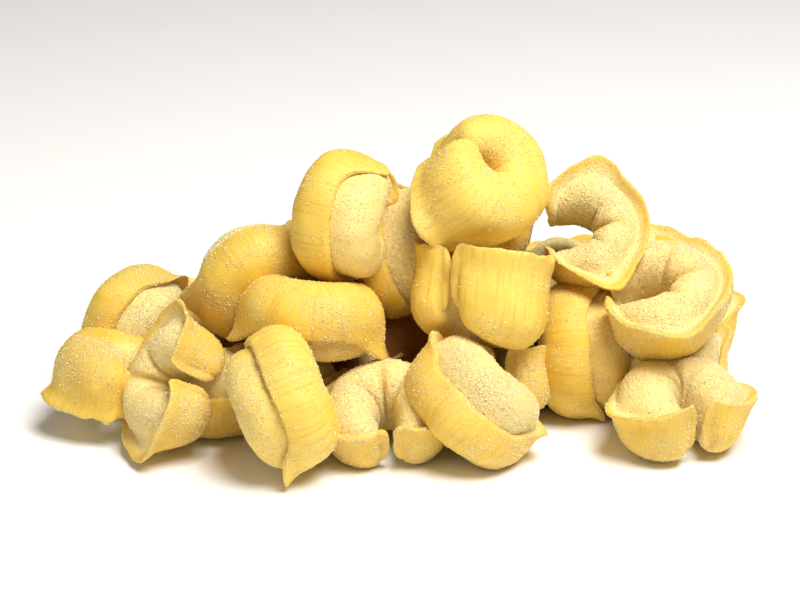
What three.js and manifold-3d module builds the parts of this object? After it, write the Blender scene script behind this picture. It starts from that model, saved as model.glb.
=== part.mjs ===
// A loose heap of fresh filled pasta rings. Each ring is a half-moon of dough, folded over a
// filling, wrapped round on itself and pinched where its two ends meet. The heap is one solid:
// the rings joined to a mound that fills the heap from inside, with a flat patch underneath.
// Millimetres, +Z up. The origin is the middle of the heap's footprint, on the surface below it.
import * as THREE from "three";
import { mergeVertices } from "three/addons/utils/BufferGeometryUtils.js";
import Module from "manifold-3d";

const wasm = await Module();
wasm.setup();

// One ring, before it is made larger or smaller
const FOLD_HALF = 24;          // half of the fold's length, measured along the dough
const SKIN = 1.05;             // half thickness of the doubled dough in the rim
const TAB_UP = 3.1;            // half height of the flat ends below their rim
const BELLY_END = 0.93;        // where the filling stops, as a share of the half fold
const BLUNT = 0.93;            // where the ends start to round off
const CURL = 12;               // degrees that the rim's edge curls outward
const LEAN_TAB = 82;           // the rim's slope at the ends, degrees above level
const HOLE_GAP = 0.35;         // the inner sheet stops this far from the ring's middle

// How finely a ring is cut up
const STATIONS = 10;           // cross-sections along the filled stretch
const SIDES = 10;              // points round each cross-section

// Four ways in which the rings were folded. out and up are the filled belly's half thickness
// across the ring and its half height along the ring's axis; angles are in degrees.
const PLUMP = { wrap: 174, out: 7.2, up: 7.2, rim: 2.8, rimTab: 4.4, root: 12, lean: 58,
  dome: 1.6, domeAt: 105, ear: 2, earAt: [0.45, -0.5], earOut: 22, lap: 1.1, skew: 0.8,
  wave: 1, tabLift: 0, size: 1 };
const SHUT = { ...PLUMP, root: 26, lean: 106, rim: 0.7, rimTab: 4.5, ear: 4.4, earOut: 48,
  wave: 0.4 };
const OPEN = { ...PLUMP, out: 6.2, dome: 1.35 };
const TALL = { ...PLUMP, rim: 8, rimTab: 7, root: 38, lean: 70, dome: 1.4 };

// The turns below are read from a seat in front of the heap, looking down at this angle
const SEAT = 23;

// Where each ring lies: x, y, z of its middle, then spin about its own axis, tip towards the
// seat and roll to the right, in degrees, then how it was folded.
const HEAP = [
  // on the table, front row
  [57, -2, 9, 22, 27, 3, { ...PLUMP, wrap: 177, rimTab: 6.2, size: 0.94 }],
  [-3, -5, 9, 5, 42, -3, { ...OPEN, wrap: 176, ear: 1, size: 0.97 }],
  [15, -8, 13, 180, 12, 42, { ...SHUT, dome: 1.7, ear: 3.4 }],
  [-23.5, -15, 15.5, 185, 4, -112, { ...SHUT, earAt: [0.45], ear: 4.8 }],
  [-47, -1, 13, 20, 32, -66, { ...OPEN, rim: 5, rimTab: 6, wrap: 176, size: 0.93 }],
  [-59, 9, 11, 335, -12, 192, { ...TALL, rim: 5, rimTab: 5, ear: 1, wrap: 178, size: 0.95 }],
  [39, 14, 14.5, 180, 3, 88, { ...SHUT, dome: 1.75, ear: 3.2 }],
  // on the table, middle and back
  [-38, 8, 9, 180, 20, 0, SHUT],
  [21, 9, 10, 0, 0, 0, { ...TALL, rim: 6, rimTab: 8, size: 0.78 }],
  [56, 14, 10, 200, 30, 0, SHUT],
  [-15, 18, 10, 30, 30, 0, PLUMP],
  [5, 32, 10, 120, 20, 0, SHUT],
  [-46, 37, 9.5, 60, -20, 15, SHUT],
  [-24, 44, 11, 220, 30, 10, PLUMP],
  [34, 47, 11, 250, 15, -12, PLUMP],
  [60, 38, 10, 180, 30, 0, SHUT],
  [8, 57, 15, 190, -14, 76, SHUT],
  // second layer
  [-18.5, 4, 26.5, 180, -10, 186, { ...SHUT, dome: 1.15, size: 1.03 }],
  [16, 8, 29, 316, 0, 5, { ...TALL, lean: 76, earAt: [-0.5], tabLift: 2.5, up: 7.8 }],
  [-31, 16, 30, 180, -42, -36, { ...SHUT, dome: 1.3, size: 0.95 }],
  [-57, 24, 15.5, 180, 25, 120, { ...SHUT, size: 0.92 }],
  [56, 12, 27, 265, 40, -12, { ...OPEN, out: 5.3, dome: 1.12, wrap: 166, rim: 4.5, size: 1.06 }],
  [60, 28, 24, 180, 0, 215, { ...SHUT, earAt: [0.45], size: 0.9 }],
  [-25, 36, 21, 130, -20, 24, SHUT],
  [0, 44, 26, 320, -40, 12, PLUMP],
  [30, 40, 19, 200, 22, -8, SHUT],
  // on top
  [-11, 12, 44.5, 200, 25, 104, { ...SHUT, ear: 5.5, earAt: [0.5], earOut: -10, size: 0.97 }],
  [41.5, 25, 36, 266, 66, -4, { ...TALL, out: 5.4, dome: 1.5, wrap: 150, lean: 64, rim: 6.5,
    size: 0.85 }],
  [-1, 22, 34, 180, 20, 80, { ...SHUT, ear: 0.5 }],
  [14, 31, 37, 180, 20, 0, SHUT],
  [17.3, 14, 51, 250, -130, 60, { ...TALL, rim: 5, rimTab: 6, earAt: [-0.5], earOut: 30,
    wrap: 196, lap: 0, skew: 0 }],
];

// The mound inside the heap, level by level: height, middle x, middle y, half length, half depth
const MOUND = [
  [0, 0, 22, 52, 20],
  [8, 0, 23, 54, 22],
  [20, 0, 24, 46, 17],
  [30, 4, 25, 34, 12],
  [38, 8, 25, 18, 8],
  [45, 14, 23, 8, 5],
];
const MOUND_SIDES = 24;
const MOUND_LUMP = 0.06;       // the mound's unevenness, as a share of its breadth

const rad = THREE.MathUtils.degToRad;

function smooth(x, low, high) {
  return THREE.MathUtils.smoothstep(x, low, high);
}

// The middle line of a ring, seen along its axis. u runs from -1 at one end to 1 at the other.
function middleLine(form, u) {
  const wrap = rad(form.wrap);
  const late = smooth(Math.abs(u), 0.62, 1);
  const radius = FOLD_HALF / wrap + Math.sign(u) * 0.5 * form.lap * late;
  return { x: radius * Math.sin(u * wrap), y: radius * Math.cos(u * wrap), radius, late };
}

function outward(form, u) {
  const step = 0.01;
  const before = middleLine(form, u - step);
  const after = middleLine(form, u + step);
  const dx = after.x - before.x;
  const dy = after.y - before.y;
  const length = Math.hypot(dx, dy);
  return { x: -dy / length, y: dx / length };
}

// How full the ring is at u: 1 at the back, 0 in the flat ends
function fullness(u) {
  return Math.pow(Math.max(1 - Math.pow(Math.abs(u) / BELLY_END, 3), 0), 0.55);
}

// The cross-section at u as a control polygon, out from the middle line and up along the axis:
// up one face of the rim, round the belly and back up the rim's other face.
function section(form, u, seed) {
  const full = fullness(u);
  const out = SKIN + (form.out - SKIN) * full;
  const up = TAB_UP + (form.up - TAB_UP) * full;
  const inward = 1 - Math.abs(u);
  const ear = form.earAt.reduce((sum, at) => sum + Math.exp(-(((u - at) / 0.12) ** 2)), 0);
  const wave = 0.35 * Math.sin(9 * u + 2.4 * seed) + 0.25 * Math.sin(17 * u + 3.9 * seed);
  const grown = (form.rim - form.rimTab) * smooth(inward, 0, 0.7);
  const rim = form.rimTab + grown + form.wave * wave + form.ear * ear;
  const root = rad(90 - (90 - form.root) * full ** 0.6);
  const lean = rad(LEAN_TAB + (form.lean - LEAN_TAB) * smooth(inward, 0, 0.6)
    + 5 * Math.sin(6 * u + 1.7 * seed) - form.earOut * ear);

  const rimPoint = (along, side, thick) => {
    const middle = lean - 0.5 * rad(CURL) * along;
    const edge = lean - rad(CURL) * along;
    return [
      0.86 * out * Math.cos(root) + rim * along * Math.cos(middle) + side * thick * Math.sin(edge),
      0.86 * up * Math.sin(root) + rim * along * Math.sin(middle) - side * thick * Math.cos(edge),
    ];
  };
  const rimSteps = [[1.02, 0.22], [0.97, 0.62], [0.72, 0.95], [0.42, 1]];
  const polygon = rimSteps.map(([along, share]) => rimPoint(along, 1, share * SKIN));
  const bellyPoints = 11;
  const gap = rad(34);
  for (let k = 0; k < bellyPoints; k += 1) {
    const angle = root - gap - (k / (bellyPoints - 1)) * 2 * (Math.PI - gap);
    const towards = Math.max(Math.cos(angle - rad(form.domeAt)), 0) ** 1.5;
    const swell = 1.06 * (1 + (form.dome - 1) * towards * full);
    polygon.push([out * Math.cos(angle) * swell, up * Math.sin(angle) * swell]);
  }
  rimSteps.reverse().forEach(([along, share]) => polygon.push(rimPoint(along, -1, share * SKIN)));
  return polygon;
}

// Points on the closed cubic B-spline of a control polygon
function roundOff(polygon, count) {
  const size = polygon.length;
  const points = [];
  for (let j = 0; j < count; j += 1) {
    const place = (j / count) * size;
    const first = Math.floor(place);
    const t = place - first;
    const weights = [
      (1 - t) ** 3 / 6,
      (3 * t ** 3 - 6 * t ** 2 + 4) / 6,
      (-3 * t ** 3 + 3 * t ** 2 + 3 * t + 1) / 6,
      t ** 3 / 6,
    ];
    const point = [0, 0];
    weights.forEach((weight, k) => {
      const corner = polygon[(first - 1 + k + size) % size];
      point[0] += weight * corner[0];
      point[1] += weight * corner[1];
    });
    points.push(point);
  }
  return points;
}

// The inner sheet bulges towards the ring's middle but never past it
function heldBack(out, radius) {
  const room = radius - HOLE_GAP;
  const start = 0.62 * room;
  const span = room - start;
  return -out > start ? -(start + span * Math.tanh((-out - start) / span)) : out;
}

// A closed skin over rows of points: quads between the rows and a fan over each end
function skinOver(rows) {
  const across = rows[0].length;
  const points = rows.flat();
  const faces = [];
  for (let i = 0; i + 1 < rows.length; i += 1) {
    for (let j = 0; j < across; j += 1) {
      const a = i * across + j;
      const b = i * across + ((j + 1) % across);
      faces.push([a, b, b + across], [a, b + across, a + across]);
    }
  }
  [[0, true], [rows.length - 1, false]].forEach(([row, first]) => {
    const hub = points.length;
    const middle = rows[row].reduce((sum, point) => sum.add(point), new THREE.Vector3());
    points.push(middle.divideScalar(across));
    for (let j = 0; j < across; j += 1) {
      const a = row * across + j;
      const b = row * across + ((j + 1) % across);
      faces.push(first ? [b, a, hub] : [a, b, hub]);
    }
  });
  const geometry = new THREE.BufferGeometry();
  geometry.setFromPoints(points);
  geometry.setIndex(faces.flat());
  return geometry;
}

// One whole ring about its own middle. Its outlines run the way that makes the skin face out.
function foldedRing(form, seed) {
  const stations = [-1];
  for (let i = 0; i < STATIONS; i += 1) {
    stations.push(-BLUNT + (2 * BLUNT * i) / (STATIONS - 1));
  }
  stations.push(1);
  const rows = stations.map((u) => {
    const line = middleLine(form, u);
    const normal = outward(form, u);
    const outline = roundOff(section(form, u, seed), SIDES).reverse();
    const lift = 0.5 * Math.sign(u) * form.skew * line.late + form.tabLift * (1 - fullness(u));
    const narrow = Math.abs(u) > BLUNT ? 0.4 : 1;
    const meanOut = outline.reduce((sum, point) => sum + point[0], 0) / SIDES;
    const meanUp = outline.reduce((sum, point) => sum + point[1], 0) / SIDES;
    return outline.map(([p, q]) => {
      const out = heldBack(meanOut + (p - meanOut) * narrow, line.radius);
      const height = meanUp + (q - meanUp) * narrow + lift;
      return new THREE.Vector3(line.x + normal.x * out, line.y + normal.y * out, height);
    });
  });
  const geometry = skinOver(rows);
  geometry.center();
  return geometry.scale(form.size, form.size, form.size);
}

function placed(geometry, [x, y, z, spin, tip, roll]) {
  geometry.rotateZ(rad(spin));
  geometry.rotateX(rad(tip));
  geometry.rotateY(rad(roll));
  geometry.rotateX(rad(-SEAT));
  return geometry.translate(x, y, z);
}

function mound() {
  const rows = MOUND.map(([z, x, y, halfLength, halfDepth]) => {
    const row = [];
    for (let j = 0; j < MOUND_SIDES; j += 1) {
      const angle = (2 * Math.PI * j) / MOUND_SIDES;
      const lump = 1 + MOUND_LUMP * Math.sin(5 * angle + 0.2 * z);
      const dx = halfLength * lump * Math.cos(angle);
      const dy = halfDepth * lump * Math.sin(angle);
      row.push(new THREE.Vector3(x + dx, y + dy, z));
    }
    return row;
  });
  return skinOver(rows);
}

function solid(geometry) {
  const bare = geometry.clone();
  bare.deleteAttribute("normal");
  bare.deleteAttribute("uv");
  const merged = mergeVertices(bare, 1e-4);
  return new wasm.Manifold(new wasm.Mesh({
    numProp: 3,
    vertProperties: new Float32Array(merged.attributes.position.array),
    triVerts: new Uint32Array(merged.index.array),
  }));
}

function shell(manifold) {
  const mesh = manifold.getMesh();
  const geometry = new THREE.BufferGeometry();
  geometry.setAttribute("position", new THREE.BufferAttribute(mesh.vertProperties, 3));
  geometry.setIndex(new THREE.BufferAttribute(mesh.triVerts, 1));
  geometry.computeVertexNormals();
  return geometry;
}

// Rings and mound become one body, and what would reach below the table is cut off level.
// Pockets of air shut in between the rings are filled: only the outermost skin is kept.
function heapSolid() {
  let joined = solid(mound());
  HEAP.forEach((place, index) => {
    joined = joined.add(solid(placed(foldedRing(place[6], index + 1), place)));
  });
  const roomAbove = new THREE.BoxGeometry(400, 400, 200).translate(0, 0, 100);
  const skins = joined.intersect(solid(roomAbove)).decompose();
  return skins.reduce((best, skin) => (skin.volume() > best.volume() ? skin : best));
}

const geometry = shell(heapSolid());
geometry.computeBoundingBox();
const middle = geometry.boundingBox.getCenter(new THREE.Vector3());
geometry.translate(-middle.x, -middle.y, 0);

const pasta = new THREE.MeshStandardMaterial({ color: 0xebc458, roughness: 0.75, metalness: 0 });
const heap = new THREE.Mesh(geometry, pasta);
heap.name = "tortellini_heap";

const dish = new THREE.Group();
dish.add(heap);
export default dish;
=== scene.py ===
import math

import bpy
import numpy as np
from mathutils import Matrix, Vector
from mathutils.bvhtree import BVHTree


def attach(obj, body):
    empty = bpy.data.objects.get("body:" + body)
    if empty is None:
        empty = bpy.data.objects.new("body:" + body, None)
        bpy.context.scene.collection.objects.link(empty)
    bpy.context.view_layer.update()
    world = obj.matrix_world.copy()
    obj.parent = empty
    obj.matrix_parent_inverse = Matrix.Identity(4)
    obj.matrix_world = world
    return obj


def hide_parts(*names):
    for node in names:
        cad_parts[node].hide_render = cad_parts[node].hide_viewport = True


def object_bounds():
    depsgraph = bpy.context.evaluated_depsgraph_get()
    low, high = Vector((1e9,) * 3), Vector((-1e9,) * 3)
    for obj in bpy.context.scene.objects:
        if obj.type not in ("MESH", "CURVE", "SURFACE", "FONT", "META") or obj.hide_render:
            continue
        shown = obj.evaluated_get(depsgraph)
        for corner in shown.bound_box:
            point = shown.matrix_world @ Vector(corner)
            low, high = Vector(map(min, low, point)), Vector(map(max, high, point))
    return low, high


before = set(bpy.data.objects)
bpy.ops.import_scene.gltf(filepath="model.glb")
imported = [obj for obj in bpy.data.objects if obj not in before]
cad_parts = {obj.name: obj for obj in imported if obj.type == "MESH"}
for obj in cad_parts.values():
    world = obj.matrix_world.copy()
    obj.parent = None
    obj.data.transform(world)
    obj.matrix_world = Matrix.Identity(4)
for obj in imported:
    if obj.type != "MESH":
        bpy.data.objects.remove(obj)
cad_low, cad_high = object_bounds()

# A loose heap of fresh filled pasta rings, dusted with semolina. Every ring is a half-moon of
# dough folded over its filling, wrapped round and pinched where the two ends meet. The dough
# work is done in millimetres, and the finished pieces are laid in the frame in metres.
NODE = "tortellini_heap"
MM = 0.001

# One ring, before it is made larger or smaller (mm)
FOLD_HALF = 24.0        # half of the fold's length, measured along the dough
SKIN = 1.05             # half thickness of the doubled dough in the rim
TAB_UP = 3.1            # half height of the flat ends below their rim
BELLY_END = 0.93        # where the filling stops, as a share of the half fold
BLUNT = 0.93            # where the ends start to round off
CURL = 12.0             # degrees that the rim's edge curls outward
LEAN_TAB = 82.0         # the rim's slope at the ends, degrees above level
HOLE_GAP = 0.35         # the inner sheet stops this far from the ring's middle
RIM_FOOT = 0.86         # where the rim grows from, as a share of the way out to the belly's skin
SEAM_GAP = 34.0         # degrees round the belly that the rim's foot takes on either side
SHEET_ROUND = 50.0      # about how far it is round a ring's section, for the ribs in the dough

STATIONS = 97           # cross-sections along the filled stretch
END_STATIONS = 7        # more of them round each blunt end
SIDES = 72              # points round each cross-section
BELLY_POINTS = 11       # control points round the belly of each cross-section
LOWEST = 0.05           # nothing of a ring lies lower than this over the table

# Four ways in which the rings were folded, in mm and degrees. wrap is half of the turn that the
# fold makes. out and up are the filled belly's half thickness across the ring and half height
# along its axis, and dome swells its inner sheet. rim and rim_tab are the rim's height at the
# back and at the ends, which leaves the belly at root and rises at lean. An ear is a place where
# the rim stands higher and leans outward. gather deepens the creases round the hole and the
# painted shade in them, and wave roughens the rim. lap, skew and tab_lift set the ends apart.
# pale, fair and dust say how pale the inner sheet is, partly its own dusted colour and partly a
# painted highlight on the domes, how light the dough and how thick the semolina.
PLUMP = dict(wrap=174, out=7.2, up=7.2, rim=2.8, rim_tab=4.4, root=12, lean=58, dome=1.6,
             dome_at=105, gather=1.0, ear=2.0, ear_at=(0.45, -0.5), ear_out=22, lap=1.1, skew=0.8,
             wave=1.0, tab_lift=0.0, size=1.0, pale=1.0, fair=0.0, dust=1.0)
SHUT = dict(PLUMP, root=26, lean=106, rim=0.7, rim_tab=4.5, ear=4.4, ear_out=48, gather=0.3,
            wave=0.4)
OPEN = dict(PLUMP, out=6.2, dome=1.35)
TALL = dict(PLUMP, rim=8.0, rim_tab=7.0, root=38, lean=70, dome=1.4)

# The turns below are read from a seat in front of the heap, looking down at this angle
SEAT = 23.0

# Where each ring lies: x, y, z of its middle, then spin about its own axis, tip towards the
# seat and roll to the right, in degrees, then how it was folded.
HEAP = [
    # on the table, front row
    (57, -2, 9, 22, 27, 3, dict(PLUMP, wrap=177, rim_tab=6.2, size=0.94)),
    (-3, -5, 9, 5, 42, -3, dict(OPEN, wrap=176, ear=1.0, size=0.97)),
    (15, -8, 13, 180, 12, 42, dict(SHUT, dome=1.7, ear=3.4)),
    (-23.5, -15, 15.5, 185, 4, -112, dict(SHUT, ear_at=(0.45,), ear=4.8, pale=0.35, fair=0.6,
                                           dust=0.6)),
    (-47, -1, 13, 20, 32, -66, dict(OPEN, rim=5.0, rim_tab=6.0, wrap=176, size=0.93)),
    (-59, 9, 11, 335, -12, 192, dict(TALL, rim=5.0, rim_tab=5.0, ear=1.0, wrap=178, size=0.95)),
    (39, 14, 14.5, 180, 3, 88, dict(SHUT, dome=1.75, ear=3.2, pale=0.4, dust=0.75)),
    # on the table, middle and back
    (-38, 8, 9, 180, 20, 0, SHUT),
    (21, 9, 10, 0, 0, 0, dict(TALL, rim=6.0, rim_tab=8.0, size=0.78)),
    (56, 14, 10, 200, 30, 0, SHUT),
    (-15, 18, 10, 30, 30, 0, PLUMP),
    (5, 32, 10, 120, 20, 0, SHUT),
    (-46, 37, 9.5, 60, -20, 15, SHUT),
    (-24, 44, 11, 220, 30, 10, PLUMP),
    (34, 47, 11, 250, 15, -12, PLUMP),
    (60, 38, 10, 180, 30, 0, SHUT),
    (8, 57, 15, 190, -14, 76, SHUT),
    # second layer
    (-18.5, 4, 26.5, 180, -10, 186, dict(SHUT, dome=1.15, size=1.03, pale=0.3, fair=0.2,
                                         dust=0.9)),
    (16, 8, 29, 316, 0, 5, dict(TALL, lean=76, ear_at=(-0.5,), tab_lift=2.5, up=7.8,
                                  fair=0.55, dust=0.5)),
    (-31, 16, 30, 180, -42, -36, dict(SHUT, dome=1.3, size=0.95)),
    (-57, 24, 15.5, 180, 25, 120, dict(SHUT, size=0.92)),
    (56, 12, 27, 265, 40, -12, dict(OPEN, out=5.3, dome=1.12, wrap=166, rim=4.5, size=1.06)),
    (60, 28, 24, 180, 0, 215, dict(SHUT, ear_at=(0.45,), size=0.9)),
    (-25, 36, 21, 130, -20, 24, SHUT),
    (0, 44, 26, 320, -40, 12, PLUMP),
    (30, 40, 19, 200, 22, -8, SHUT),
    # on top
    (-11, 12, 44.5, 200, 25, 104, dict(SHUT, ear=5.5, ear_at=(0.5,), ear_out=-10, size=0.97,
                                       pale=0.8, fair=0.3, dust=0.45)),
    (41.5, 25, 36, 266, 66, -4, dict(TALL, out=5.4, dome=1.5, wrap=150, lean=64, rim=6.5,
                                     size=0.85)),
    (-1, 22, 34, 180, 20, 80, dict(SHUT, ear=0.5)),
    (14, 31, 37, 180, 20, 0, SHUT),
    (17.3, 14, 51, 250, -130, 60, dict(TALL, rim=5.0, rim_tab=6.0, ear_at=(-0.5,), ear_out=30,
                                       wrap=196, lap=0.0, skew=0.0, pale=0.0, fair=0.7, dust=0.6)),
]

# The mound deep inside the heap, coloured dark brown as painted shade: height, middle x,
# middle y, half length, half depth
MOUND = [
    (0, 0, 24, 42, 14),
    (8, 0, 24, 42, 14),
    (16, 0, 25, 34, 11),
    (24, 3, 26, 24, 8),
    (30, 5, 27, 12, 5),
    (33, 6, 27, 4, 2),
]
MOUND_SIDES = 96
MOUND_LEVELS = 25
MOUND_BACK = 22.0       # how far back the mound's lumps are pushed out from

# Semolina lying on the dough: how many grains of each kind, and their half width (mm)
GRAINS = {"semolina_coarse": (48000, 0.14, 0.21), "semolina_fine": (48000, 0.09, 0.14)}
GRAIN_SUNK = 0.2        # how high a grain's middle stands, as a share of its half width
CLOSE_ABOVE = 7.0       # a spot with dough nearer than this over it gets no grains
JUST_OFF = 0.15         # how far above the dough the look upward starts
OFF_THE_TABLE = 0.5     # no grains lie on dough lower than this
TRIES = 3               # spots looked at for each grain wanted
GRAIN_SEED = 7


# ---------------------------------------------------------------- numbers and noise

def smooth(x, low=0.0, high=1.0):
    t = np.clip((x - low) / (high - low), 0.0, 1.0)
    return t * t * (3.0 - 2.0 * t)


def bump_at(x, middle, width, sharpness=2.0):
    return np.exp(-np.abs((x - middle) / width) ** sharpness)


SEED_STEP = 17.31
SCRAMBLE = (374761393, 668265263, 2147483647)
SCRAMBLE_AGAIN = 1274126177


def unevenness(points, lump, seed):
    """Smooth noise between -1 and 1 at each point, with lumps of the given size."""
    place = points / lump + seed * SEED_STEP
    cell = np.floor(place).astype(np.int64)
    part = place - cell
    part = part * part * (3.0 - 2.0 * part)
    total = np.zeros(len(points))
    for corner in range(8):
        step = np.array([corner & 1, corner >> 1 & 1, corner >> 2 & 1])
        near = cell + step
        mixed = sum(near[:, axis] * factor for axis, factor in enumerate(SCRAMBLE))
        mixed = (mixed + seed * SCRAMBLE_AGAIN) & 0xFFFFFFFF
        mixed = ((mixed ^ (mixed >> 13)) * SCRAMBLE_AGAIN) & 0xFFFFFFFF
        value = (mixed & 0xFFFF) / 32767.5 - 1.0
        total += value * np.prod(np.where(step == 1, part, 1.0 - part), axis=1)
    return total


def turned(points, spin, tip, roll):
    """Points turned about the origin, in the order in which a ring is laid."""
    for axis, degrees in ((2, spin), (0, tip), (1, roll), (0, -SEAT)):
        angle = math.radians(degrees)
        first, second = (axis + 1) % 3, (axis + 2) % 3
        moved = points.copy()
        moved[:, first] = math.cos(angle) * points[:, first] - math.sin(angle) * points[:, second]
        moved[:, second] = math.sin(angle) * points[:, first] + math.cos(angle) * points[:, second]
        points = moved
    return points


# ---------------------------------------------------------------- one folded ring

def stations():
    """Places along the fold, from -1 at one end to 1 at the other, closer together at the ends."""
    body = np.linspace(-BLUNT, BLUNT, STATIONS)
    turn = np.linspace(0, math.pi / 2, END_STATIONS + 1)[1:]
    end = BLUNT + (1 - BLUNT) * np.sin(turn)
    return np.concatenate([-end[::-1], body, end])


def middle_line(form, u):
    """The ring's middle line seen along its axis, with the direction outward from it."""
    wrap = math.radians(form["wrap"])
    late = smooth(np.abs(u), 0.62, 1.0)
    radius = FOLD_HALF / wrap + np.sign(u) * 0.5 * form["lap"] * late
    x, y = radius * np.sin(u * wrap), radius * np.cos(u * wrap)
    dx, dy = np.gradient(x, u), np.gradient(y, u)
    length = np.hypot(dx, dy)
    return x, y, -dy / length, dx / length, radius, late


def fullness(u):
    """How full the ring is: 1 at the back, 0 in the flat ends."""
    return np.clip(1 - (np.abs(u) / BELLY_END) ** 3, 0, 1) ** 0.55


def section(form, u, seed):
    """Control polygons of the cross-sections, outward and up: rim, round the belly, rim."""
    full = fullness(u)
    out = SKIN + (form["out"] - SKIN) * full
    up = TAB_UP + (form["up"] - TAB_UP) * full
    inward = 1 - np.abs(u)
    ear = sum(bump_at(u, at, 0.12) for at in form["ear_at"])
    wave = 0.35 * np.sin(9 * u + 2.4 * seed) + 0.25 * np.sin(17 * u + 3.9 * seed)
    cut = np.stack([u * FOLD_HALF, 0 * u, 0 * u], axis=1)
    wave = wave + 0.55 * unevenness(cut, 2.1, seed) + 0.3 * unevenness(cut, 1.1, seed + 20)
    rim = form["rim_tab"] + (form["rim"] - form["rim_tab"]) * smooth(inward, 0, 0.7)
    rim = rim + form["wave"] * wave + form["ear"] * ear
    root = np.radians(90 - (90 - form["root"]) * full ** 0.6)
    lean = np.radians(LEAN_TAB + (form["lean"] - LEAN_TAB) * smooth(inward, 0, 0.6)
                      + 5 * np.sin(6 * u + 1.7 * seed) - form["ear_out"] * ear)
    curl = math.radians(CURL)

    def rim_point(along, side, thick):
        middle, edge = lean - 0.5 * curl * along, lean - curl * along
        from_belly = RIM_FOOT * out * np.cos(root), RIM_FOOT * up * np.sin(root)
        return (from_belly[0] + rim * along * np.cos(middle) + side * thick * np.sin(edge),
                from_belly[1] + rim * along * np.sin(middle) - side * thick * np.cos(edge))

    rim_steps = ((1.02, 0.15), (0.97, 0.5), (0.72, 0.7), (0.42, 0.95))
    polygon = [rim_point(along, 1, share * SKIN) for along, share in rim_steps]
    gap = math.radians(SEAM_GAP)
    for share in np.linspace(0, 1, BELLY_POINTS):
        angle = root - gap - share * 2 * (math.pi - gap)
        towards = np.clip(np.cos(angle - math.radians(form["dome_at"])), 0, 1) ** 1.5
        swell = 1.06 * (1 + (form["dome"] - 1) * towards * full)
        polygon.append((out * np.cos(angle) * swell, up * np.sin(angle) * swell))
    polygon += [rim_point(along, -1, share * SKIN) for along, share in reversed(rim_steps)]
    return np.array(polygon).transpose(1, 2, 0)


def rounded_off(polygon):
    """Points on the closed cubic B-splines of many control polygons at once."""
    size = polygon.shape[-1]
    place = np.arange(SIDES) / SIDES * size
    first = np.floor(place).astype(int)
    t = place - first
    weights = ((1 - t) ** 3 / 6, (3 * t ** 3 - 6 * t ** 2 + 4) / 6,
               (-3 * t ** 3 + 3 * t ** 2 + 3 * t + 1) / 6, t ** 3 / 6)
    return sum(weight * polygon[..., (first - 1 + k) % size] for k, weight in enumerate(weights))


def held_back(out, radius):
    """The inner sheet bulges towards the ring's middle but never past it."""
    room = radius - HOLE_GAP
    start = 0.62 * room
    span = room - start
    eased = -(start + span * np.tanh(np.maximum(-out - start, 0) / span))
    return np.where(-out > start, eased, out)


def outward_normals(grid):
    along = np.gradient(grid, axis=0)
    around = np.roll(grid, -1, axis=1) - np.roll(grid, 1, axis=1)
    normal = np.cross(around, along)
    return normal / np.maximum(np.linalg.norm(normal, axis=2, keepdims=True), 1e-9)


def folded_ring(form, seed):
    """One ring about its own middle: a grid of points and what the dough is like at each."""
    u = stations()
    x, y, nx, ny, radius, late = middle_line(form, u)
    out, up = rounded_off(section(form, u, seed))
    around = np.arange(SIDES) / SIDES
    rounding = np.clip((np.abs(u) - BLUNT) / (1 - BLUNT), 0, 1)
    keep = np.sqrt(1 - rounding ** 2)[:, None]
    mean_out, mean_up = out.mean(1, keepdims=True), up.mean(1, keepdims=True)
    out = mean_out + (out - mean_out) * (0.25 + 0.75 * keep)
    up = mean_up + (up - mean_up) * (0.35 + 0.65 * keep)

    # the inner sheet is gathered into creases round the hole
    gathered = bump_at(around, 0.62, 0.13)
    creases = ((0.0, 1.6, 0.06), (0.34, 0.95, 0.05), (-0.31, 0.9, 0.05))
    depth = sum(deep * bump_at(u, at, wide, 1.5) for at, deep, wide in creases)
    pull = form["gather"] * gathered * depth[:, None]
    out, up = out + pull, up - 0.35 * pull
    out = held_back(out, radius[:, None])

    lift = 0.5 * np.sign(u) * form["skew"] * late + form["tab_lift"] * (1 - fullness(u))
    grid = np.stack([x[:, None] + nx[:, None] * out, y[:, None] + ny[:, None] * out,
                     up + lift[:, None]], axis=-1)

    rows = len(u)
    across_u = np.repeat(u, SIDES)
    across_s = np.tile(around, rows)
    edge = np.minimum(across_s, 1 - across_s)
    lip = smooth(-edge, -0.045, -0.02)
    inner = smooth(across_s, 0.4, 0.5) * smooth(-across_s, -0.9, -0.82)
    flat = smooth(np.abs(across_u), 0.7, 0.92)

    # lumps, finger marks and a rough cut edge
    points = grid.reshape(-1, 3)
    normal = outward_normals(grid).reshape(-1, 3)
    swell = (0.42 * unevenness(points, 8.0, seed) + 0.16 * unevenness(points, 3.4, seed + 50)
             + 0.07 * unevenness(points, 1.5, seed + 90)
             + 0.25 * flat * unevenness(points, 3.0, seed + 130))
    swell += lip * (0.2 * unevenness(points, 1.2, seed + 170)
                    + 0.12 * unevenness(points, 0.7, seed))
    points = points + normal * swell[:, None]
    middle = (points.min(0) + points.max(0)) / 2
    points = (points - middle) * form["size"]

    ring_apart = np.full(len(points), seed * 7.0)
    lay = np.stack([across_u * FOLD_HALF, across_s * SHEET_ROUND, ring_apart], axis=1)
    # the crease depth is kept too, as the mask for the shade painted into the creases
    marks = dict(inner=inner, pale=form["pale"] * inner, lip=lip, painted_crease_shade=pull.reshape(-1),
                 fair=np.full(len(points), form["fair"]))
    return points, lay, marks


def skin_faces(rows, across):
    """Quads between the rows of a grid that closes round on itself, and over both ends."""
    faces = []
    for i in range(rows - 1):
        for j in range(across):
            k = (j + 1) % across
            row, after = i * across, (i + 1) * across
            faces.append((row + j, row + k, after + k, after + j))
    for base, first in ((0, True), ((rows - 1) * across, False)):
        low, high = 0, across - 1
        while high - low > 1:
            face = [base + low, base + low + 1, base + high - 1, base + high]
            if high - low == 2:
                face.pop(2)
            faces.append(tuple(face[::-1] if first else face))
            low, high = low + 1, high - 1
    return faces


# ---------------------------------------------------------------- materials

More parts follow.
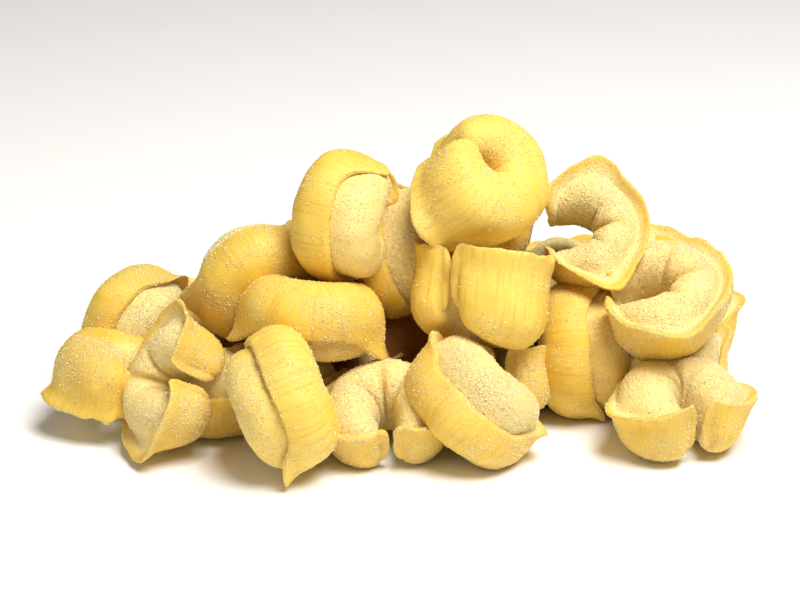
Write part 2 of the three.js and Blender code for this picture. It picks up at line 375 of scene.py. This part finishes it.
class Shade:
    """A value in a material. Arithmetic on it adds the Math nodes that work it out."""

    def __init__(self, paint, socket):
        self.paint = paint
        self.socket = socket

    def maths(self, operation, *values):
        return self.paint.add("ShaderNodeMath", {"operation": operation}, dict(enumerate(values)))

    def __add__(self, other):
        return self.maths("ADD", self, other)

    __radd__ = __add__

    def __sub__(self, other):
        return self.maths("SUBTRACT", self, other)

    def __rsub__(self, other):
        return self.maths("SUBTRACT", other, self)

    def __mul__(self, other):
        return self.maths("MULTIPLY", self, other)

    __rmul__ = __mul__

    def held(self):
        """The value kept between 0 and 1."""
        return self.paint.add("ShaderNodeClamp", {}, {"Value": self})

    def also(self, out):
        """Another output of the node that this value comes from."""
        return Shade(self.paint, self.socket.node.outputs[out])


class Paint:
    """A material under construction."""

    def __init__(self, name):
        self.material = bpy.data.materials.new(name)
        self.material.use_nodes = True
        self.tree = self.material.node_tree
        self.tree.nodes.clear()

    def add(self, kind, settings, sockets, out=0):
        """A node of any kind, with its settings made first, then its sockets fed."""
        node = self.tree.nodes.new(kind)
        for name, value in settings.items():
            setattr(node, name, value)
        for name, value in sockets.items():
            if isinstance(value, Shade):
                self.tree.links.new(value.socket, node.inputs[name])
            else:
                node.inputs[name].default_value = value
        return Shade(self, node.outputs[out]) if node.outputs else None

    def mark(self, name, out="Fac"):
        """What a point's own attribute says."""
        return self.add("ShaderNodeAttribute", {"attribute_name": name}, {}, out)

    def noise(self, where, per_metre, detail=2.0, rough=0.5):
        sockets = {"Vector": where, "Scale": per_metre, "Detail": detail, "Roughness": rough}
        return self.add("ShaderNodeTexNoise", {"noise_dimensions": "3D"}, sockets)

    def grains(self, where, per_metre, share):
        """Small round grains, of which the given share is there."""
        sockets = {"Vector": where, "Scale": per_metre}
        away = self.add("ShaderNodeTexVoronoi", {"feature": "F1"}, sockets, "Distance")
        chance = away.also("Color")
        return ((0.45 - away) * 5).held() * ((share - chance) * 12).held()

    def between(self, low, high, share):
        """A colour that goes from low to high as share goes from 0 to 1."""
        return self.add("ShaderNodeMix", {"data_type": "RGBA"}, {0: share, 6: low, 7: high}, 2)

    def stretched(self, vector, by):
        sockets = {0: vector, 1: by}
        return self.add("ShaderNodeVectorMath", {"operation": "MULTIPLY"}, sockets)

    def finish(self, colour, roughness, height, depth, **plain):
        """The surface itself. What is plain is the same all over."""
        bump = {"Height": height, "Strength": 1.0, "Distance": depth}
        normal = self.add("ShaderNodeBump", {}, bump)
        sockets = {"Base Color": colour, "Roughness": roughness, "Normal": normal}
        sockets.update({name.replace("_", " "): value for name, value in plain.items()})
        surface = self.add("ShaderNodeBsdfPrincipled", {}, sockets)
        self.add("ShaderNodeOutputMaterial", {}, {"Surface": surface})
        return self.material


def linear(red, green, blue):
    """A colour as it looks on a screen, 0 to 255, in the units that a material takes."""
    values = [c / 255 / 12.92 if c <= 10 else ((c / 255 + 0.055) / 1.055) ** 2.4
              for c in (red, green, blue)]
    return (*values, 1.0)


GOLD = linear(224, 182, 58)
YOLK = linear(238, 201, 80)
FAIR_DOUGH = linear(248, 214, 100)
# pale dough, partly the inner sheet's own dusted colour and partly a painted highlight on the
# domes
PALE_DOUGH_AND_HIGHLIGHT = linear(247, 223, 148)
# deep gold is the ribs' darker streaks, and also painted shade in the creases and between the
# grains
DEEP_GOLD = linear(200, 147, 36)
SEMOLINA = linear(251, 231, 168)
BRAN = linear(166, 112, 44)
# painted shade: the dark browns of the mound deep in the heap
DARK_PAINTED_SHADE = linear(96, 54, 6)
BROWN_PAINTED_SHADE = linear(150, 96, 22)
WHITE_GRAIN = linear(255, 242, 186)
GOLD_GRAIN = linear(248, 212, 112)
WHITE = linear(252, 252, 252)
OFF_WHITE = linear(248, 248, 248)


def egg_dough():
    """Fresh egg dough: golden and faintly ribbed outside, paler inside, dusted with semolina. The
    inner sheet is paler partly for its own dusted colour and partly as a painted highlight.
    """
    paint = Paint("egg_dough")
    place = paint.add("ShaderNodeTexCoord", {}, {}, "Object")
    lay = paint.mark("lay", "Vector")
    inner, pale, lip = paint.mark("inner"), paint.mark("pale"), paint.mark("lip")
    painted_crease_shade, dusty = paint.mark("painted_crease_shade"), paint.mark("dusty")

    cloudy = paint.noise(place, 130.0, 3.0)
    ribs = paint.noise(paint.stretched(lay, (2.4, 0.11, 1.0)), 1.0, 3.0, 0.6)
    ribbed = (ribs - 0.5) * (1 - inner)
    sheet = paint.between(GOLD, YOLK, ((cloudy - 0.35) * 2.6).held())
    sheet = paint.between(sheet, FAIR_DOUGH, paint.mark("fair") * (0.5 + cloudy))
    sheet = paint.between(sheet, DEEP_GOLD, (ribbed * 2.4).held())
    blotchy = paint.noise(place, 260.0, 2.0)
    # partly painted highlight: the inner sheet is paler for its own dusted colour and for the
    # light on the domes, and the cut edge is a little paler too
    paler = (pale * 1.6 + blotchy - 0.95).held() * 0.55 + pale * 0.3
    sheet = paint.between(sheet, PALE_DOUGH_AND_HIGHLIGHT, (paler + lip * 0.12).held())
    # painted shade: the dough darkens to deep gold down in the creases round the hole
    sheet = paint.between(sheet, DEEP_GOLD, (painted_crease_shade * 0.3).held())
    freckle = paint.noise(place, 900.0, 0.0)
    sheet = paint.between(sheet, BRAN, ((freckle - 0.84) * 9).held())

    fine = paint.noise(place, 2300.0, 2.0, 0.7)
    large_grains = paint.grains(place, 2100.0, dusty * 0.95 + 0.06)
    small_grains = paint.grains(place, 3300.0, dusty * 0.9 + 0.16)
    speckle = (large_grains + small_grains * 0.8).held()
    bloom = (dusty * (0.25 + fine * 0.5)).held()
    dusted = paint.between(sheet, SEMOLINA, bloom * 0.55)
    # painted shade: darker gold in the gaps between the semolina grains
    dusted = paint.between(dusted, DEEP_GOLD, (dusty * (1 - speckle) * 0.1).held())
    dusted = paint.between(dusted, SEMOLINA, speckle * 0.8)

    height = large_grains + small_grains * 0.6 + fine * 0.4 + ribbed * 0.25
    roughness = 0.5 + dusty * 0.3
    return paint.finish(dusted, roughness, height, 0.0002, Subsurface_Weight=0.12,
                        Subsurface_Radius=(1.0, 0.55, 0.2), Subsurface_Scale=0.0016,
                        Specular_IOR_Level=0.35)


def painted_shade_dough():
    """Painted shade: dark brown dough deep in the heap, where little light reaches."""
    paint = Paint("painted_shade_dough")
    place = paint.add("ShaderNodeTexCoord", {}, {}, "Object")
    lumpy = paint.noise(place, 90.0, 3.0)
    grain = paint.noise(place, 1500.0, 2.0)
    colour = paint.between(DARK_PAINTED_SHADE, BROWN_PAINTED_SHADE, (lumpy * grain * 2).held())
    return paint.finish(colour, 0.8 + grain * 0.1, grain + lumpy, 0.0004)


def semolina():
    paint = Paint("semolina")
    place = paint.add("ShaderNodeTexCoord", {}, {}, "Object")
    tint = paint.noise(place, 700.0, 1.0)
    colour = paint.between(WHITE_GRAIN, GOLD_GRAIN, ((tint - 0.35) * 2.5).held())
    return paint.finish(colour, 0.6 + tint * 0.2, tint, 0.0001, Subsurface_Weight=0.7,
                        Subsurface_Radius=(1.0, 0.85, 0.5), Subsurface_Scale=0.0008)


def white_table():
    paint = Paint("white_table")
    place = paint.add("ShaderNodeTexCoord", {}, {}, "Object")
    faint = paint.noise(place, 30.0, 2.0)
    colour = paint.between(WHITE, OFF_WHITE, faint)
    return paint.finish(colour, 0.85 + faint * 0.05, faint, 0.00002)


# ---------------------------------------------------------------- pieces

def piece(name, points, faces, material, smooth_faces=True):
    """A mesh object from points in metres."""
    mesh = bpy.data.meshes.new(name)
    mesh.from_pydata(points.tolist(), [], faces)
    mesh.polygons.foreach_set("use_smooth", [smooth_faces] * len(mesh.polygons))
    mesh.materials.append(material)
    mesh.update()
    made = bpy.data.objects.new(name, mesh)
    bpy.context.scene.collection.objects.link(made)
    return made


def write_mark(made, name, values):
    if values.ndim == 1:
        mark = made.data.attributes.new(name, "FLOAT", "POINT")
        mark.data.foreach_set("value", values.astype(np.float32))
    else:
        mark = made.data.attributes.new(name, "FLOAT_VECTOR", "POINT")
        mark.data.foreach_set("vector", values.astype(np.float32).ravel())


def part_of_heap(made):
    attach(made, "root")
    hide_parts(NODE)
    return made


def dustiness(points, marks, share, seed):
    """Semolina lies in patches, thickest on the inner sheet and along the cut edge."""
    patches = 0.6 * unevenness(points, 9.0, seed + 300) + 0.4 * unevenness(points, 4.0, seed + 340)
    amount = 0.3 + 0.32 * marks["inner"] + 0.45 * marks["lip"] + 0.55 * patches
    return np.clip(share * amount, 0.0, 1.0)


def lay_rings():
    """Every ring of the heap in its place, in millimetres, moved into the frame's own origin."""
    laid = []
    for seed, (x, y, z, spin, tip, roll, form) in enumerate(HEAP, start=1):
        points, lay, marks = folded_ring(form, seed)
        points = turned(points, spin, tip, roll) + np.array([x, y, z])
        points[:, 2] = np.maximum(points[:, 2], LOWEST)
        laid.append((points, lay, marks, dustiness(points, marks, form["dust"], seed)))
    low = np.min([points.min(0) for points, *_ in laid], axis=0)
    high = np.max([points.max(0) for points, *_ in laid], axis=0)
    cad_middle = np.array((cad_low + cad_high) / 2) / MM
    shift = cad_middle - (low + high) / 2
    shift[2] = cad_low[2] / MM
    return laid, shift


def make_rings(laid, shift, material):
    faces = skin_faces(STATIONS + 2 * END_STATIONS, SIDES)
    for number, (points, lay, marks, dusty) in enumerate(laid, start=1):
        ring = piece(f"tortellino_{number:02d}", (points + shift) * MM, faces, material)
        write_mark(ring, "lay", lay)
        write_mark(ring, "dusty", dusty)
        for name in ("inner", "pale", "lip", "painted_crease_shade", "fair"):
            write_mark(ring, name, marks[name])
        part_of_heap(ring)
    return faces


def make_mound(shift, material):
    """A lumpy mound, painted dark brown as shade, that only shows as darkness between the rings.
    """
    levels = np.array(MOUND, dtype=float)
    heights = np.linspace(0, levels[-1, 0], MOUND_LEVELS)
    columns = [np.interp(heights, levels[:, 0], levels[:, k]) for k in range(1, 5)]
    angle = np.linspace(0, 2 * math.pi, MOUND_SIDES, endpoint=False)
    mid_x, mid_y, half_x, half_y = (column[:, None] for column in columns)
    grid = np.stack([mid_x + half_x * np.cos(angle), mid_y + half_y * np.sin(angle),
                     np.repeat(heights[:, None], MOUND_SIDES, axis=1)], axis=-1)
    points = grid.reshape(-1, 3)
    lumps = 2.2 * unevenness(points, 11.0, 900) + 0.9 * unevenness(points, 4.0, 901)
    away = points - np.array([0.0, MOUND_BACK, 0.0])
    away[:, 2] = 0
    away /= np.maximum(np.linalg.norm(away, axis=1, keepdims=True), 1.0)
    points = points + away * lumps[:, None]
    points[:, 2] = np.maximum(points[:, 2], 0.0)
    faces = skin_faces(MOUND_LEVELS, MOUND_SIDES)
    part_of_heap(piece("inner_mound", (points + shift) * MM, faces, material))


def heap_tree(laid, faces):
    """All rings as one tree of faces, to find what lies close over a spot of dough."""
    count = len(laid[0][0])
    every = np.concatenate([points for points, *_ in laid])
    joined = [tuple(corner + ring * count for corner in face)
              for ring in range(len(laid)) for face in faces]
    return BVHTree.FromPolygons(every.tolist(), joined)


def grain_shapes(rng, count):
    """Angular grains about the origin: uneven tetrahedra, as corner points for each."""
    corners = np.array([(1, 1, 1), (1, -1, -1), (-1, 1, -1), (-1, -1, 1)], float)
    stretch = rng.uniform(0.6, 1.2, (count, 1, 3))
    jitter = rng.uniform(-0.35, 0.35, (count, 4, 3))
    return corners[None] * stretch + jitter


def open_spots(rng, laid, faces, wanted):
    """Places on the dough with nothing close above them, thickest where it is dustiest."""
    quads = np.array([face for face in faces if len(face) == 4])
    corners, facing, weight = [], [], []
    for points, _, marks, dusty in laid:
        a, b, c, d = (points[quads[:, k]] for k in range(4))
        across = np.cross(c - a, d - b)
        area = np.linalg.norm(across, axis=1)
        thick = 1.6 * dusty[quads].mean(1) ** 2 + 0.5 * marks["lip"][quads].mean(1) + 0.08
        corners.append(points[quads])
        facing.append(across / np.maximum(area[:, None], 1e-9))
        weight.append(area * thick)
    corners, facing, weight = (np.concatenate(rows) for rows in (corners, facing, weight))
    tried = rng.choice(len(weight), size=TRIES * wanted, p=weight / weight.sum())
    share = rng.dirichlet((1, 1, 1, 1), size=len(tried))
    where = (corners[tried] * share[:, :, None]).sum(1)
    way = facing[tried]
    tree = heap_tree(laid, faces)
    chosen = []
    for index in range(len(tried)):
        if len(chosen) == wanted:
            break
        start = Vector(where[index] + way[index] * JUST_OFF)
        above = tree.ray_cast(start, Vector(way[index]), CLOSE_ABOVE)[0]
        if where[index][2] > OFF_THE_TABLE and above is None:
            chosen.append(index)
    return where[chosen], way[chosen]


def make_grains(laid, shift, faces, material):
    """Semolina scattered over the dough, every grain a little shape of its own."""
    rng = np.random.default_rng(GRAIN_SEED)
    where, way = open_spots(rng, laid, faces, sum(kind[0] for kind in GRAINS.values()))
    done = 0
    for name, (count, small, large) in GRAINS.items():
        there, up = where[done:done + count], way[done:done + count]
        done += count
        size = rng.uniform(small, large, (len(there), 1, 1))
        middle = (there + up * size[:, 0] * GRAIN_SUNK)[:, None, :]
        corners = grain_shapes(rng, len(there)) * size + middle
        sides = np.array([(0, 1, 2), (0, 2, 3), (0, 3, 1), (1, 3, 2)])
        shapes = (sides[None] + 4 * np.arange(len(there))[:, None, None]).reshape(-1, 3)
        points = (corners.reshape(-1, 3) + shift) * MM
        part_of_heap(piece(name, points, shapes.tolist(), material, smooth_faces=False))


# ---------------------------------------------------------------- camera, table and light

LENS = 100.0
SENSOR = 36.0
SHOWN = 1.1128          # how much wider the view is than the heap
LOOK_AT = (-0.9, -10.7, 26.9)   # from the middle of the heap's foot, mm
VIEW_DROP = 23.0        # degrees below level

# Each lamp's place and size in metres, its power in watts and its colour
LAMPS = {
    "key": ((0.20, -0.22, 0.66), 0.42, 7.4, (1.0, 0.98, 0.94)),
    "fill": ((-0.5, -0.35, 0.35), 0.6, 0.5, (1.0, 0.96, 0.88)),
}
LAMPS_AIM = (0, 0, 0.02)
SKY = (1.0, 0.96, 0.88, 1.0)
SKY_STRENGTH = 0.17
TABLE_HALF = 3.0        # half of the table's side, in metres


def aimed(obj, place, target):
    obj.location = place
    obj.rotation_euler = (Vector(target) - Vector(place)).to_track_quat("-Z", "Y").to_euler()


def set_camera():
    length = cad_high[0] - cad_low[0]
    distance = LENS / SENSOR * SHOWN * length
    drop = math.radians(VIEW_DROP)
    foot = Vector(((cad_low[0] + cad_high[0]) / 2, (cad_low[1] + cad_high[1]) / 2, cad_low[2]))
    target = foot + Vector(LOOK_AT) * MM
    data = bpy.data.cameras.new("view")
    data.lens = LENS
    data.sensor_width = SENSOR
    data.clip_start = 0.01
    camera = bpy.data.objects.new("view", data)
    bpy.context.scene.collection.objects.link(camera)
    aimed(camera, target + distance * Vector((0, -math.cos(drop), math.sin(drop))), target)
    bpy.context.scene.camera = camera


def soft_lamp(name, place, size, power, colour):
    data = bpy.data.lights.new(name, "AREA")
    data.shape = "DISK"
    data.size = size
    data.energy = power
    data.color = colour
    lamp = bpy.data.objects.new(name, data)
    bpy.context.scene.collection.objects.link(lamp)
    aimed(lamp, place, LAMPS_AIM)


def set_table_and_light():
    corners = np.array([(-1.0, -1.0, 0.0), (1.0, -1.0, 0.0), (1.0, 1.0, 0.0), (-1.0, 1.0, 0.0)])
    corners *= TABLE_HALF
    corners[:, 2] = cad_low[2]
    floor = piece("table", corners, [(0, 1, 2, 3)], white_table())
    for name, lamp in LAMPS.items():
        soft_lamp(name, *lamp)
    world = bpy.data.worlds.new("studio")
    bpy.context.scene.world = world
    world.use_nodes = True
    sky = world.node_tree.nodes["Background"]
    sky.inputs["Color"].default_value = SKY
    sky.inputs["Strength"].default_value = SKY_STRENGTH
    bpy.context.scene.view_settings.view_transform = "Standard"


set_camera()
laid, shift = lay_rings()
ring_faces = make_rings(laid, shift, egg_dough())
make_mound(shift, painted_shade_dough())
make_grains(laid, shift, ring_faces, semolina())
set_table_and_light()
